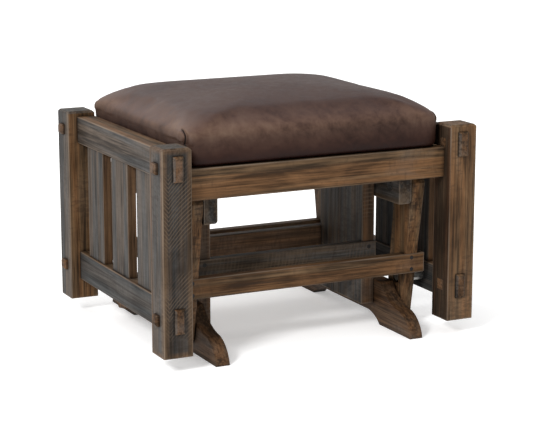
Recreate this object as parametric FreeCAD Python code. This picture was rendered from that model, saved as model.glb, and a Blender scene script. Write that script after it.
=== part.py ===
import FreeCAD
import Part
import math
import os

Vector = FreeCAD.Vector

# Glider ottoman. X runs to the right, Y to the rear and Z up, and the feet stand on Z = 0.
# The seat frame hangs clear of the floor on four swing arms, which pivot on a fixed base.
# All lengths are millimetres. A name that ends in _reach is a distance from the centre.

# Seat frame: four posts, which hang clear of the floor
frame_half_width = 307.0
frame_half_depth = 253.0
post_side = 54.0
post_bottom = 28.0
post_head = 10.0
post_top_chamfer = 4.0

# Broken edges of the boards
arris = 1.2

# Side rails, set back from the outer faces of the posts
side_rail_setback = 19.0
upper_side_rail_thickness = 35.0
upper_side_rail_height = 50.0
upper_side_rail_step = 36.0
lower_side_rail_thickness = 26.0
lower_side_rail_height = 54.0
post_foot = 37.0

# Front and rear rails under the cushion
end_rail_setback = 21.0
end_rail_thickness = 24.0
end_rail_height = 55.0
end_rail_swing_gap = 3.0
stub_tenon_length = 15.0
stub_tenon_thickness = 12.0
stub_tenon_shoulder = 7.0

# Through tenons of the side rails and the square pegs that lock them
tenon_width = 19.0
tenon_height = 44.0
tenon_proud = 6.0
peg_side = 19.0
peg_proud = 7.5
pillow_bevel = 3.2

# Slats between the side rails
slat_count = 3
slat_width = 78.0
slat_gap = 42.0
slat_thickness = 16.0
slat_setback = 4.5
slat_tongue = 8.0

# Seat deck on two cleats, held by countersunk screws
deck_thickness = 12.0
deck_edge_gap = 1.0
cleat_width = 19.0
cleat_height = 25.0
deck_screws_per_cleat = 3
deck_screw_spacing = 200.0

# Cushion: a boxed pad between the side rails, widest above the posts' waist, with a crowned top
soft_gap = 0.4
cushion_side_gap = 4.5
cushion_front_setback = 1.0
cushion_foot_inset = 4.5
cushion_side_height = 46.0
cushion_shoulder_height = 36.0
cushion_shoulder_inset = 25.0
cushion_crown = 13.6
cushion_crown_share = 0.6
cushion_corner = 26.0
cushion_waist = 2.0
dart_width = 3.0
dart_depth = 2.4
dart_length = 26.0

# Base: feet with bearing bars above them
foot_thickness = 26.0
foot_half_length = 244.7
foot_top = 83.0
foot_flat_reach = 134.5
foot_waist_reach = 202.0
foot_waist_height = 43.5
foot_instep_hollow = 8.5
foot_toe_bulge = 9.0
foot_heel_reach = 132.0
foot_arch_height = 20.0
foot_arch_reach = 85.0
foot_arch_round = 5.0
bar_half_length = 197.0
bar_height = 48.5
bar_round = 6.0

# Base: uprights on the inner faces of the feet and bars
upright_thickness = 26.0
upright_front_reach = 108.0
upright_rear_reach = 57.0
upright_lap = 46.0

# Base: two fixed stretchers let into the edges of the uprights
base_stretcher_thickness = 19.0
base_stretcher_height = 41.0
base_stretcher_rise = 33.0
base_stretcher_overhang = 1.4
front_stretcher_proud = 4.0
rear_stretcher_proud = 15.0

# Swing arms, one pair at the front and one at the rear
arm_thickness = 25.0
arm_side_gap = 1.7
upper_pivot_reach = 162.0
lower_pivot_reach = 142.0
pivot_drop = 180.0
arm_cap = 18.0
arm_tail = 76.0
arm_outer_edge_top = 38.0
arm_outer_edge_toe = 21.5
arm_inner_edge = 27.5
arm_clip = 12.0
arm_toe_rise = 5.0

# Moving stretchers let into the outer edges of the arms
arm_stretcher_thickness = 20.0
arm_stretcher_height = 36.5
arm_stretcher_rise = 13.5
arm_stretcher_proud = 4.5
arm_stretcher_overhang = 14.0

# Pivots: a bolt in a plain bush, with washers and a lock nut
bolt_radius = 5.0
bolt_head_radius = 9.0
bolt_head_height = 5.5
running_clearance = 0.05
fit_clearance = 0.1
loop_clearance = 1.3
bush_radius = 8.0
plug_radius = 10.5
plug_depth = 5.0
head_pocket_radius = 12.0
head_pocket_depth = 7.0
washer_radius = 12.0
washer_thickness = 1.5
nut_across_flats = 17.0
nut_height = 8.0
bolt_end_past_nut = 2.5
spacer_radius = 11.0
spacer_length = 28.3
spacer_gap = 0.4
pivot_sides = 10
insert_radius = 7.5
insert_length = 18.0

# Screws
screw_sides = 6
screw_head_radius = 4.2
screw_shank_radius = 2.2
screw_length = 42.0
deck_screw_length = 30.0
stretcher_screw_half_pitch = 11.0
upright_screw_inset = 20.0
upright_screw_step = 22.0
upright_screw_low = 12.0
upright_screw_rise = 19.0
bar_screw_drop = 13.0
bar_screw_stagger = 28.0
bar_screw_spacing = 42.0

# Heights worked out from the sizes above, from the floor up
lower_side_rail_bottom = post_bottom + post_foot
lower_side_rail_top = lower_side_rail_bottom + lower_side_rail_height
lower_pivot_height = lower_side_rail_bottom + lower_side_rail_height / 2.0
upper_pivot_height = lower_pivot_height + pivot_drop
bar_top = upper_pivot_height + arm_cap
bar_bottom = bar_top - bar_height
end_rail_bottom = bar_top + end_rail_swing_gap
end_rail_top = end_rail_bottom + end_rail_height
upper_side_rail_bottom = end_rail_bottom + upper_side_rail_step
upper_side_rail_top = upper_side_rail_bottom + upper_side_rail_height
upper_tenon_height = upper_side_rail_bottom + upper_side_rail_height / 2.0
lower_tenon_height = lower_pivot_height
post_top = upper_side_rail_top + post_head
upright_bottom = foot_top - upright_lap
base_stretcher_bottom = foot_top + base_stretcher_rise
base_stretcher_top = base_stretcher_bottom + base_stretcher_height
arm_stretcher_bottom = lower_pivot_height + arm_stretcher_rise
arm_stretcher_top = arm_stretcher_bottom + arm_stretcher_height

# Places across the width, from the posts inwards
post_inner_x = frame_half_width - post_side
side_rail_outer_x = frame_half_width - side_rail_setback
lower_side_rail_inner_x = side_rail_outer_x - lower_side_rail_thickness
tenon_inner_x = side_rail_outer_x - tenon_width
slat_outer_x = side_rail_outer_x - slat_setback
arm_outer_x = lower_side_rail_inner_x - spacer_length - spacer_gap
arm_inner_x = arm_outer_x - arm_thickness
foot_outer_x = arm_inner_x - arm_side_gap
foot_inner_x = foot_outer_x - foot_thickness
upright_inner_x = foot_inner_x - upright_thickness

# Places along the depth
post_inner_y = frame_half_depth - post_side
peg_reach = frame_half_depth - post_side / 2.0
end_rail_outer_y = frame_half_depth - end_rail_setback
end_rail_inner_y = end_rail_outer_y - end_rail_thickness
front_stretcher_face = -upright_front_reach - front_stretcher_proud
rear_stretcher_face = upright_rear_reach + rear_stretcher_proud
arm_lean = (upper_pivot_reach - lower_pivot_reach) / pivot_drop


# Basic solids
def box(x0, x1, y0, y1, z0, z1):
    return Part.makeBox(x1 - x0, y1 - y0, z1 - z0, Vector(x0, y0, z0))


def rod_x(radius, x0, x1, y, z):
    return Part.makeCylinder(radius, x1 - x0, Vector(x0, y, z), Vector(1, 0, 0))


def mirror_left(shape):
    return shape.mirror(Vector(0, 0, 0), Vector(1, 0, 0))


def mirror_rear(shape):
    return shape.mirror(Vector(0, 0, 0), Vector(0, 1, 0))


def four_ways(shape):
    pair = [shape, mirror_left(shape)]
    return pair + [mirror_rear(one) for one in pair]


def group(shapes):
    return Part.makeCompound(shapes)


def edges_where(shape, test):
    return [edge for edge in shape.Edges if all(test(vertex.Point) for vertex in edge.Vertexes)]


def board(x0, x1, y0, y1, z0, z1, grain):
    """A dressed board with its long edges broken; grain is 0, 1 or 2 for X, Y or Z."""
    solid = box(x0, x1, y0, y1, z0, z1)
    long_edges = []
    for edge in solid.Edges:
        run = edge.Vertexes[1].Point - edge.Vertexes[0].Point
        if abs(run[grain]) > 1e-6:
            long_edges.append(edge)
    return solid.makeChamfer(arris, long_edges)


def extrude_x(wire, x0, x1):
    face = Part.Face(wire)
    face.translate(Vector(x0, 0, 0))
    return face.extrude(Vector(x1 - x0, 0, 0))


def pillow(x0, x1, y0, y1, z0, z1, axis, end, bevel):
    """A square bar whose far end, the one at the given place on its axis, is bevelled."""
    solid = box(x0, x1, y0, y1, z0, z1)
    rim = edges_where(solid, lambda point: abs(point[axis] - end) < 1e-6)
    return solid.makeChamfer(bevel, rim)


def polygon_corners(radius, sides, centre, direction):
    """Corners of a regular polygon around the line through centre; radius is to its corners."""
    across = Vector(0, 0, 1) if abs(direction.z) < 0.5 else Vector(1, 0, 0)
    other = direction.cross(across)
    corners = []
    for index in range(sides):
        turn = 2.0 * math.pi * index / sides
        corners.append(centre + (across * math.cos(turn) + other * math.sin(turn)) * radius)
    return corners


def flat_face(corners):
    return Part.Face(Part.makePolygon(corners + corners[:1]))


def prism_x(radius, sides, x0, x1, y, z):
    corners = polygon_corners(radius, sides, Vector(x0, y, z), Vector(1, 0, 0))
    return flat_face(corners).extrude(Vector(x1 - x0, 0, 0))


def faceted_ring_x(outer, inner, x0, x1, y, z):
    """A small ring with flats, outside and in its bore, which it keeps clear of the given radius."""
    bore = inner / math.cos(math.pi / pivot_sides)
    ring = prism_x(outer, pivot_sides, x0, x1, y, z)
    return ring.cut(prism_x(bore, pivot_sides, x0 - 1, x1 + 1, y, z))


def screw_shape(head, direction, length, extra):
    """A countersunk screw with its head flush at the point head, wider all over by extra."""
    wide = screw_head_radius + extra
    narrow = screw_shank_radius + extra
    neck = head + direction * (screw_head_radius - screw_shank_radius)
    end = head + direction * length
    rings = [
        polygon_corners(wide, screw_sides, head, direction),
        polygon_corners(narrow, screw_sides, neck, direction),
        polygon_corners(narrow, screw_sides, end, direction),
    ]
    faces = [flat_face(rings[0]), flat_face(rings[2])]
    for upper, lower in zip(rings, rings[1:]):
        for index in range(screw_sides):
            after = (index + 1) % screw_sides
            faces.append(flat_face([upper[index], upper[after], lower[after], lower[index]]))
    solid = Part.makeSolid(Part.makeShell(faces))
    return solid if solid.Volume > 0 else solid.reversed()


def screw(head, direction, length):
    return screw_shape(head, direction, length, 0.0)


def screw_hole(head, direction, length):
    return screw_shape(head, direction, length + 1.0, fit_clearance)


def drill(shape, cutters):
    for cutter in cutters:
        shape = shape.cut(cutter)
    return shape


# Seat frame
def tenon_box(height):
    """The square way through a front right post that a side rail's tenon fills."""
    outer = -frame_half_depth - tenon_proud
    low = height - tenon_height / 2.0
    return tenon_inner_x, side_rail_outer_x, outer, -post_inner_y, low, low + tenon_height


def peg_shape(height):
    half = peg_side / 2.0
    end = frame_half_width + peg_proud
    low = height - half
    sides = (post_inner_x, end, -peg_reach - half, -peg_reach + half)
    return pillow(*sides, low, low + peg_side, 0, end, pillow_bevel)


def stub_tenon(x0, x1):
    middle = -(end_rail_outer_y + end_rail_inner_y) / 2.0
    half = stub_tenon_thickness / 2.0
    low = end_rail_bottom + stub_tenon_shoulder
    high = end_rail_top - stub_tenon_shoulder
    return box(x0, x1, middle - half, middle + half, low, high)


def make_post():
    """Front right post with its mortises and peg holes."""
    sides = (post_inner_x, frame_half_width, -frame_half_depth, -post_inner_y)
    solid = board(*sides, post_bottom, post_top, 2)
    solid = solid.common(pillow(*sides, post_bottom, post_top, 2, post_top, post_top_chamfer))
    for height in (upper_tenon_height, lower_tenon_height):
        solid = solid.cut(box(*tenon_box(height)))
        solid = solid.cut(peg_shape(height))
    return solid.cut(stub_tenon(post_inner_x - 1.0, post_inner_x + stub_tenon_length))


def make_side_rail(thickness, bottom, height, slat_end):
    """Right side rail with a tenon through each post; slat_end is the face that holds the slats."""
    sides = (side_rail_outer_x - thickness, side_rail_outer_x, -post_inner_y, post_inner_y)
    solid = board(*sides, bottom, bottom + height, 1)
    middle = bottom + height / 2.0
    x0, x1, y0, y1, z0, z1 = tenon_box(middle)
    tenon = pillow(x0, x1, y0, y1, z0, z1, 1, y0, pillow_bevel)
    solid = solid.fuse([tenon, mirror_rear(tenon)])
    solid = drill(solid, [peg_shape(middle), mirror_rear(peg_shape(middle))])
    for slat in slat_places():
        solid = solid.cut(slat_mortise(slat, slat_end))
    return solid


def slat_places():
    pitch = slat_width + slat_gap
    first = -pitch * (slat_count - 1) / 2.0
    return [first + pitch * index for index in range(slat_count)]


def slat_mortise(middle, face):
    half = slat_width / 2.0
    sides = (slat_outer_x - slat_thickness, slat_outer_x, middle - half, middle + half)
    return box(*sides, face - slat_tongue, face + slat_tongue)


def make_slat(middle):
    half = slat_width / 2.0
    sides = (slat_outer_x - slat_thickness, slat_outer_x, middle - half, middle + half)
    return box(*sides, lower_side_rail_top - slat_tongue, upper_side_rail_bottom + slat_tongue)


def make_end_rail():
    """Front rail with a stub tenon at each end."""
    sides = (-post_inner_x, post_inner_x, -end_rail_outer_y, -end_rail_inner_y)
    solid = board(*sides, end_rail_bottom, end_rail_top, 0)
    tongue = stub_tenon(post_inner_x, post_inner_x + stub_tenon_length)
    return solid.fuse([tongue, mirror_left(tongue)])


def deck_screw_heads():
    count = deck_screws_per_cleat
    first = -deck_screw_spacing * (count - 1) / 2.0
    middle = -end_rail_inner_y + cleat_width / 2.0
    return [Vector(first + deck_screw_spacing * index, middle, end_rail_top) for index in range(count)]


def deck_screw_set(make):
    down = Vector(0, 0, -1)
    front = [make(head, down, deck_screw_length) for head in deck_screw_heads()]
    return front + [mirror_rear(one) for one in front]


def make_cleat():
    """Front cleat under the deck, along the inner face of the front rail."""
    top = end_rail_top - deck_thickness
    half = post_inner_x - deck_edge_gap
    sides = (-half, half, -end_rail_inner_y, -end_rail_inner_y + cleat_width)
    return drill(board(*sides, top - cleat_height, top, 0), deck_screw_set(screw_hole))


def make_deck():
    half = post_inner_x - deck_edge_gap
    depth = end_rail_inner_y - deck_edge_gap / 2.0
    panel = box(-half, half, -depth, depth, end_rail_top - deck_thickness, end_rail_top)
    return drill(panel, deck_screw_set(screw_hole))


# Cushion
def cushion_section(half_x, half_y, corner, waist, height):
    """A closed wire of four sides, drawn in by waist at their middles, and four quarter arcs."""
    ends = []
    arcs = []
    for side_x, side_y, start in ((1, -1, -90), (1, 1, 0), (-1, 1, 90), (-1, -1, 180)):
        centre = Vector(side_x * (half_x - corner), side_y * (half_y - corner), height)
        turns = [math.radians(start + step) for step in (0, 45, 90)]
        points = [centre + Vector(math.cos(turn), math.sin(turn), 0) * corner for turn in turns]
        arcs.append(Part.Arc(*points).toShape())
        ends.append((points[0], points[2]))
    middles = (
        Vector(half_x - waist, 0, height),
        Vector(0, half_y - waist, height),
        Vector(waist - half_x, 0, height),
        Vector(0, waist - half_y, height),
    )
    edges = []
    for index, middle in enumerate(middles):
        edges.append(arcs[index])
        edges.append(Part.Arc(ends[index][1], middle, ends[(index + 1) % 4][0]).toShape())
    return Part.Wire(edges)


def cushion_corner_places(half_x, half_y):
    return [(side_x * half_x, side_y * half_y) for side_x in (-1, 1) for side_y in (-1, 1)]


def make_cushion():
    """Drawn in at its foot, then a rounded shoulder to the crown, with a sewn dart at each corner."""
    bottom = end_rail_top + soft_gap
    wide_x = post_inner_x - cushion_side_gap
    wide_y = end_rail_outer_y - cushion_front_setback
    wires = []
    widest = bottom + cushion_side_height
    for height, pull in ((bottom, cushion_foot_inset), (widest, 0.0)):
        sides = (wide_x - pull, wide_y - pull, cushion_corner)
        wires.append(cushion_section(*sides, cushion_waist, height))
    for degrees in (45, 90):
        turn = math.radians(degrees)
        pull = cushion_shoulder_inset * (1.0 - math.cos(turn))
        height = widest + cushion_shoulder_height * math.sin(turn)
        sides = (wide_x - pull, wide_y - pull, cushion_corner)
        wires.append(cushion_section(*sides, cushion_waist, height))
    share = cushion_crown_share
    height = widest + cushion_shoulder_height + cushion_crown
    sides = ((wide_x - pull) * share, (wide_y - pull) * share, cushion_corner * share)
    wires.append(cushion_section(*sides, cushion_waist * share, height))
    solid = Part.makeLoft(wires, True, True)
    for x, y in cushion_corner_places(wide_x - dart_width, wide_y):
        out = 1.0 if y > 0 else -1.0
        corners = [
            Vector(x - dart_width / 2.0, y + out * dart_depth, widest),
            Vector(x + dart_width / 2.0, y + out * dart_depth, widest),
            Vector(x, y - out * (dart_depth + cushion_corner / 2.0), widest),
        ]
        wedge = Part.Face(Part.makePolygon(corners + corners[:1])).extrude(Vector(0, 0, dart_length))
        solid = solid.cut(wedge)
    return solid


# Base
def foot_outline():
    """Rear half of a foot from its top middle round the toe to the arch, in Y and Z."""
    def at(y, z):
        return Vector(0, y, z)

    def bowed(start, end, bow):
        """An arc between two points that leaves its chord by bow, towards the left of its run."""
        chord = end - start
        across = Vector(0, -chord.z, chord.y).normalize()
        return Part.Arc(start, (start + end) * 0.5 + across * bow, end).toShape()

    shoulder = at(foot_flat_reach, foot_top)
    waist = at(foot_waist_reach, foot_waist_height)
    toe = at(foot_half_length, 0)
    heel = at(foot_heel_reach, 0)
    arch_end = at(foot_arch_reach, foot_arch_height)
    edges = [Part.makeLine(at(0, foot_top), shoulder)]
    edges.append(bowed(shoulder, waist, -foot_instep_hollow))
    edges.append(bowed(waist, toe, foot_toe_bulge))
    edges.append(Part.makeLine(toe, heel))
    edges.append(bowed(heel, arch_end, -foot_arch_round))
    edges.append(Part.makeLine(arch_end, at(0, foot_arch_height)))
    edges.append(Part.makeLine(at(0, foot_arch_height), at(0, foot_top)))
    return Part.Wire(edges)


def make_foot():
    half = extrude_x(foot_outline(), foot_inner_x, foot_outer_x)
    return half.fuse(mirror_rear(half)).removeSplitter()


def upper_pivot_spots():
    return [(side * upper_pivot_reach, upper_pivot_height) for side in (-1, 1)]


def make_bar(side):
    """Bearing bar above a foot. Its lower right edge is rounded on both sides of the base."""
    solid = box(foot_inner_x, foot_outer_x, -bar_half_length, bar_half_length, bar_bottom, bar_top)
    rounded_x = foot_outer_x if side > 0 else foot_inner_x
    lower = edges_where(
        solid, lambda point: abs(point.z - bar_bottom) < 1e-6 and abs(point.x - rounded_x) < 1e-6
    )
    solid = solid.makeFillet(bar_round, lower)
    pocket_end = foot_inner_x + plug_depth + bolt_head_height
    for y, z in upper_pivot_spots():
        solid = solid.cut(rod_x(plug_radius + fit_clearance, foot_inner_x - 1, pocket_end, y, z))
        solid = solid.cut(rod_x(bolt_radius + fit_clearance, foot_inner_x, foot_outer_x + 1, y, z))
    solid = drill(solid, upright_screw_set(screw_hole))
    return solid if side > 0 else mirror_left(solid)


def upright_screw_set(make):
    """Screws from an upright's inner face into its foot and, above, into its bar."""
    places = []
    for edge, inwards in ((-upright_front_reach, 1), (upright_rear_reach, -1)):
        for step in (0, 1):
            across = edge + inwards * (upright_screw_inset + upright_screw_step * step)
            places.append((across, upright_bottom + upright_screw_low + upright_screw_rise * step))
    for step in range(4):
        across = -upright_front_reach + upright_screw_inset + bar_screw_spacing * step
        places.append((across, bar_top - bar_screw_drop - bar_screw_stagger * (step % 2)))
    right = Vector(1, 0, 0)
    heads = [Vector(upright_inner_x, y, z) for y, z in places]
    return [make(head, right, screw_length) for head in heads]


def stretcher_screw_set(make):
    """Screws through the ends of both base stretchers into the edges of the uprights."""
    middle = base_stretcher_bottom + base_stretcher_height / 2.0
    across = (upright_inner_x + foot_inner_x) / 2.0
    screws = []
    for face, direction in ((front_stretcher_face, 1), (rear_stretcher_face, -1)):
        for rise in (-stretcher_screw_half_pitch, stretcher_screw_half_pitch):
            head = Vector(across, face, middle + rise)
            screws.append(make(head, Vector(0, direction, 0), screw_length))
    return screws + [mirror_left(one) for one in screws]


def base_stretcher(face, away):
    """Fixed stretcher; face is its outer face and away points from it into the base."""
    back = face + away * base_stretcher_thickness
    half = foot_inner_x + base_stretcher_overhang
    return board(-half, half, min(face, back), max(face, back), base_stretcher_bottom, base_stretcher_top, 0)


def make_upright():
    """Right upright, lapped on its foot and bar, with a housing for each stretcher."""
    sides = (upright_inner_x, foot_inner_x, -upright_front_reach, upright_rear_reach)
    solid = board(*sides, upright_bottom, bar_top, 2)
    span = (upright_inner_x - 1.0, foot_inner_x + 1.0)
    rows = (base_stretcher_bottom, base_stretcher_top)
    solid = solid.cut(box(*span, front_stretcher_face, front_stretcher_face + base_stretcher_thickness, *rows))
    solid = solid.cut(box(*span, rear_stretcher_face - base_stretcher_thickness, rear_stretcher_face, *rows))
    return drill(solid, upright_screw_set(screw_hole) + stretcher_screw_set(screw_hole))


# Swing arms
def arm_axis_reach(height):
    """Distance of the line through both pivots from the middle of the ottoman."""
    return upper_pivot_reach - (upper_pivot_height - height) * arm_lean


def arm_outer_edge(height):
    top = upper_pivot_height + arm_cap
    toe = lower_pivot_height - arm_tail
    share = (top - height) / (top - toe)
    return arm_axis_reach(height) + arm_outer_edge_top + (arm_outer_edge_toe - arm_outer_edge_top) * share


def arm_inner_reach(height):
    return arm_axis_reach(height) - arm_inner_edge


def arm_stretcher_face():
    return arm_outer_edge(arm_stretcher_bottom + arm_stretcher_height / 2.0) + arm_stretcher_proud


def arm_stretcher_box():
    face = -arm_stretcher_face()
    half = arm_outer_x + arm_stretcher_overhang
    back = face + arm_stretcher_thickness
    return -half, half, face, back, arm_stretcher_bottom, arm_stretcher_top


def arm_screw_set(make):
    """Screws through the right end of the front moving stretcher into the arm's edge."""
    middle = arm_stretcher_bottom + arm_stretcher_height / 2.0
    across = (arm_inner_x + arm_outer_x) / 2.0
    screws = []
    for rise in (-stretcher_screw_half_pitch, stretcher_screw_half_pitch):
        head = Vector(across, -arm_stretcher_face(), middle + rise)
        screws.append(make(head, Vector(0, 1, 0), screw_length))
    return screws


def make_arm():
    """Front right swing arm, clipped at its corners, with pivot holes and a stretcher housing."""
    top = upper_pivot_height + arm_cap
    toe = lower_pivot_height - arm_tail
    clip = arm_clip
    rise = toe + arm_toe_rise
    places = [
        (-arm_outer_edge(top - clip), top - clip),
        (-arm_outer_edge(top) + clip, top),
        (-arm_inner_reach(top) - clip, top),
        (-arm_inner_reach(top - clip), top - clip),
        (-arm_inner_reach(rise), rise),
        (-arm_outer_edge(toe) + clip, toe),
        (-arm_outer_edge(toe + clip), toe + clip),
    ]
    corners = [Vector(0, y, z) for y, z in places]
    solid = extrude_x(Part.makePolygon(corners + corners[:1]), arm_inner_x, arm_outer_x)
    side_edges = [edge for edge in solid.Edges if edge.Length > pivot_drop]
    solid = solid.makeChamfer(arris, side_edges)
    for y, z in pivot_places():
        hole = bush_radius + fit_clearance
        solid = solid.cut(prism_x(hole, pivot_sides, arm_inner_x - 1, arm_outer_x + 1, y, z))
    pocket_end = arm_inner_x + head_pocket_depth
    y, z = pivot_places()[1]
    solid = solid.cut(prism_x(head_pocket_radius, pivot_sides, arm_inner_x - 1, pocket_end, y, z))
    solid = solid.cut(box(*arm_stretcher_box()))
    return drill(solid, arm_screw_set(screw_hole))


def pivot_places():
    """Upper and lower pivot of a front arm, as Y and Z."""
    return [(-upper_pivot_reach, upper_pivot_height), (-lower_pivot_reach, lower_pivot_height)]


def make_arm_stretcher():
    solid = board(*arm_stretcher_box(), 0)
    holes = arm_screw_set(screw_hole)
    return drill(solid, holes + [mirror_left(one) for one in holes])


# Pivot hardware, made for the front right arm
def make_upper_bolt():
    y, z = pivot_places()[0]
    head = foot_inner_x + plug_depth
    seat = head + bolt_head_height
    end = nut_start() + nut_height + bolt_end_past_nut
    return prism_x(bolt_head_radius, 6, head, seat, y, z).fuse(rod_x(bolt_radius, seat, end, y, z))


def nut_start():
    return arm_outer_x + spacer_gap + washer_thickness


def make_upper_plug():
    y, z = pivot_places()[0]
    return rod_x(plug_radius, foot_inner_x, foot_inner_x + plug_depth, y, z)


def make_upper_washers():
    y, z = pivot_places()[0]
    bore = bolt_radius + fit_clearance
    inner = faceted_ring_x(washer_radius, bore, foot_outer_x, foot_outer_x + washer_thickness, y, z)
    outer = faceted_ring_x(washer_radius, bore, nut_start() - washer_thickness, nut_start(), y, z)
    return [inner, outer]


def make_upper_nut():
    y, z = pivot_places()[0]
    reach = nut_across_flats / math.sqrt(3.0)
    start = nut_start()
    bore = (bolt_radius + fit_clearance) / math.cos(math.pi / pivot_sides)
    solid = prism_x(reach, 6, start, start + nut_height, y, z)
    return solid.cut(prism_x(bore, pivot_sides, start - 1, start + nut_height + 1, y, z))


def bush(clearance, x0, place):
    """A bush with flats outside, pressed into its arm, and a round bore that runs on the bolt."""
    y, z = place
    body = prism_x(bush_radius, pivot_sides, x0, arm_outer_x, y, z)
    return body.cut(rod_x(bolt_radius + clearance, x0 - 1, arm_outer_x + 1, y, z))


def make_upper_bush():
    return bush(running_clearance, arm_inner_x, pivot_places()[0])


def make_lower_bush(clearance):
    return bush(clearance, arm_inner_x + head_pocket_depth, pivot_places()[1])


def make_lower_bolt():
    y, z = pivot_places()[1]
    seat = arm_inner_x + head_pocket_depth - spacer_gap
    head = seat - bolt_head_height
    end = lower_side_rail_inner_x + insert_length
    return prism_x(bolt_head_radius, 6, head, seat, y, z).fuse(rod_x(bolt_radius, seat, end, y, z))


def make_lower_spacer():
    y, z = pivot_places()[1]
    bore = bolt_radius + fit_clearance
    return faceted_ring_x(spacer_radius, bore, arm_outer_x + spacer_gap, lower_side_rail_inner_x, y, z)


def make_lower_insert():
    y, z = pivot_places()[1]
    end = lower_side_rail_inner_x + insert_length
    return faceted_ring_x(insert_radius, bolt_radius + fit_clearance, lower_side_rail_inner_x, end, y, z)


def lower_insert_hole():
    y, z = pivot_places()[1]
    radius = insert_radius + fit_clearance
    end = lower_side_rail_inner_x + insert_length + 1
    return prism_x(radius, pivot_sides, lower_side_rail_inner_x - 1, end, y, z)


# The whole ottoman, one entry to a piece or to a set of like pieces
def seat_frame():
    parts = {}
    post = make_post()
    names = ("post_front_right", "post_front_left", "post_rear_right", "post_rear_left")
    parts.update(zip(names, four_ways(post)))
    upper_sizes = (upper_side_rail_thickness, upper_side_rail_bottom, upper_side_rail_height)
    lower_sizes = (lower_side_rail_thickness, lower_side_rail_bottom, lower_side_rail_height)
    upper = make_side_rail(*upper_sizes, upper_side_rail_bottom)
    lower = make_side_rail(*lower_sizes, lower_side_rail_top)
    lower = drill(lower, [lower_insert_hole(), mirror_rear(lower_insert_hole())])
    parts["side_rail_upper_right"] = upper
    parts["side_rail_upper_left"] = mirror_left(upper)
    parts["side_rail_lower_right"] = lower
    parts["side_rail_lower_left"] = mirror_left(lower)
    for number, middle in enumerate(slat_places(), start=1):
        slat = make_slat(middle)
        parts["slat_right_%d" % number] = slat
        parts["slat_left_%d" % number] = mirror_left(slat)
    front = make_end_rail()
    parts["end_rail_front"] = front
    parts["end_rail_rear"] = mirror_rear(front)
    cleat = make_cleat()
    parts["deck_cleat_front"] = cleat
    parts["deck_cleat_rear"] = mirror_rear(cleat)
    parts["seat_deck"] = make_deck()
    parts["deck_screws"] = group(deck_screw_set(screw))
    pegs = four_ways(peg_shape(upper_tenon_height)) + four_ways(peg_shape(lower_tenon_height))
    parts["tenon_pegs"] = group(pegs)
    parts["cushion"] = make_cushion()
    parts["lower_pivot_bolts"] = group(four_ways(make_lower_bolt()))
    parts["lower_pivot_spacers"] = group(four_ways(make_lower_spacer()))
    parts["lower_pivot_inserts"] = group(four_ways(make_lower_insert()))
    return parts


def base():
    parts = {}
    foot = drill(make_foot(), upright_screw_set(screw_hole))
    parts["foot_right"] = foot
    parts["foot_left"] = mirror_left(foot)
    parts["bearing_bar_right"] = make_bar(1)
    parts["bearing_bar_left"] = make_bar(-1)
    upright = make_upright()
    parts["upright_right"] = upright
    parts["upright_left"] = mirror_left(upright)
    holes = stretcher_screw_set(screw_hole)
    parts["base_stretcher_front"] = drill(base_stretcher(front_stretcher_face, 1), holes)
    parts["base_stretcher_rear"] = drill(base_stretcher(rear_stretcher_face, -1), holes)
    upright_screws = upright_screw_set(screw)
    parts["upright_screws"] = group(upright_screws + [mirror_left(one) for one in upright_screws])
    parts["base_stretcher_screws"] = group(stretcher_screw_set(screw))
    parts["upper_pivot_bolts"] = group(four_ways(make_upper_bolt()))
    parts["upper_pivot_plugs"] = group(four_ways(make_upper_plug()))
    washers = [ring for one in make_upper_washers() for ring in four_ways(one)]
    parts["upper_pivot_washers"] = group(washers)
    parts["upper_pivot_nuts"] = group(four_ways(make_upper_nut()))
    return parts


def swing_arms():
    parts = {}
    arm = make_arm()
    names = ("arm_front_right", "arm_front_left", "arm_rear_right", "arm_rear_left")
    parts.update(zip(names, four_ways(arm)))
    stretcher = make_arm_stretcher()
    screws = arm_screw_set(screw)
    screws = screws + [mirror_left(one) for one in screws]
    upper = [make_upper_bush(), mirror_left(make_upper_bush())]
    tight = make_lower_bush(running_clearance)
    loose = make_lower_bush(loop_clearance)
    parts["arm_stretcher_front"] = stretcher
    parts["arm_stretcher_rear"] = mirror_rear(stretcher)
    parts["arm_screws_front"] = group(screws)
    parts["arm_screws_rear"] = group([mirror_rear(one) for one in screws])
    parts["upper_bushes_front"] = group(upper)
    parts["upper_bushes_rear"] = group([mirror_rear(one) for one in upper])
    parts["lower_bushes_front"] = group([tight, mirror_left(tight)])
    parts["lower_bushes_rear"] = group([mirror_rear(loose), mirror_rear(mirror_left(loose))])
    return parts


def main():
    os.makedirs("parts", exist_ok=True)
    parts = {}
    parts.update(seat_frame())
    parts.update(base())
    parts.update(swing_arms())
    for node, shape in parts.items():
        shape.exportStep(os.path.join("parts", node + ".step"))
    return parts


all_parts = main()
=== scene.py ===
import math
import random

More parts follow.
